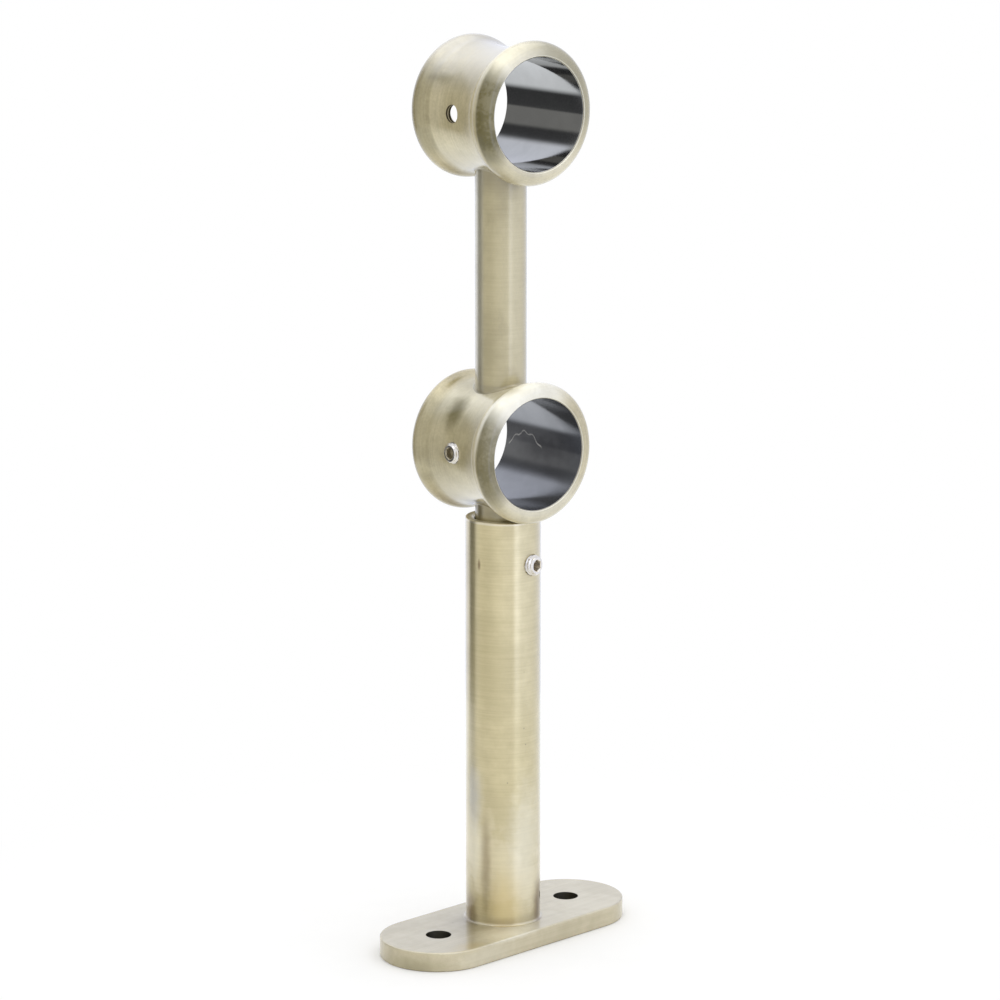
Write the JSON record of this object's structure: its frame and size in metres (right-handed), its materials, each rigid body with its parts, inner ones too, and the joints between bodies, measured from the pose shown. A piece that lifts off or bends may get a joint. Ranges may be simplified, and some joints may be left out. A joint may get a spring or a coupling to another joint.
{
  "type": "double curtain pole bracket",
  "caption": "Wall bracket with an obround plate, a tube and a sliding rod that carries spool-shaped rings for curtain poles.",
  "frame": {"origin": "centre of the plate's wall face, on the tube's axis", "axes": "+Z away from the wall along the tube, X along the plate's long side"},
  "size_m": [0.0716, 0.031, 0.2172],
  "materials": {
    "antique_brass": "darkened brass, brushed back and lacquered; the ring bores stay dark",
    "bright_steel": "bright nickel plate"
  },
  "bodies": {
    "wall_mount": {"base_plate": "antique_brass", "outer_tube": "antique_brass"},
    "pole_carrier": {"slide_rod": "antique_brass", "lower_ring": "antique_brass", "upper_rod": "antique_brass", "upper_ring": "antique_brass"},
    "tube_screw": {"tube_set_screw": "bright_steel"},
    "ring_screw": {"ring_set_screw": "bright_steel"}
  },
  "joints": [
    {"name": "carrier_slide", "type": "slide", "parent": "wall_mount", "child": "pole_carrier", "axis": [0, 0, 1], "range_m": [-0.0007, 0.05]},
    {"name": "tube_screw_travel", "type": "slide", "parent": "wall_mount", "child": "tube_screw", "axis": [0.1045, -0.9945, 0], "range_m": [0, 0.0016]},
    {"name": "ring_screw_travel", "type": "slide", "parent": "pole_carrier", "child": "ring_screw", "axis": [-0.9954, 0.0958, 0], "range_m": [-0.0008, 0.0008]}
  ]
}
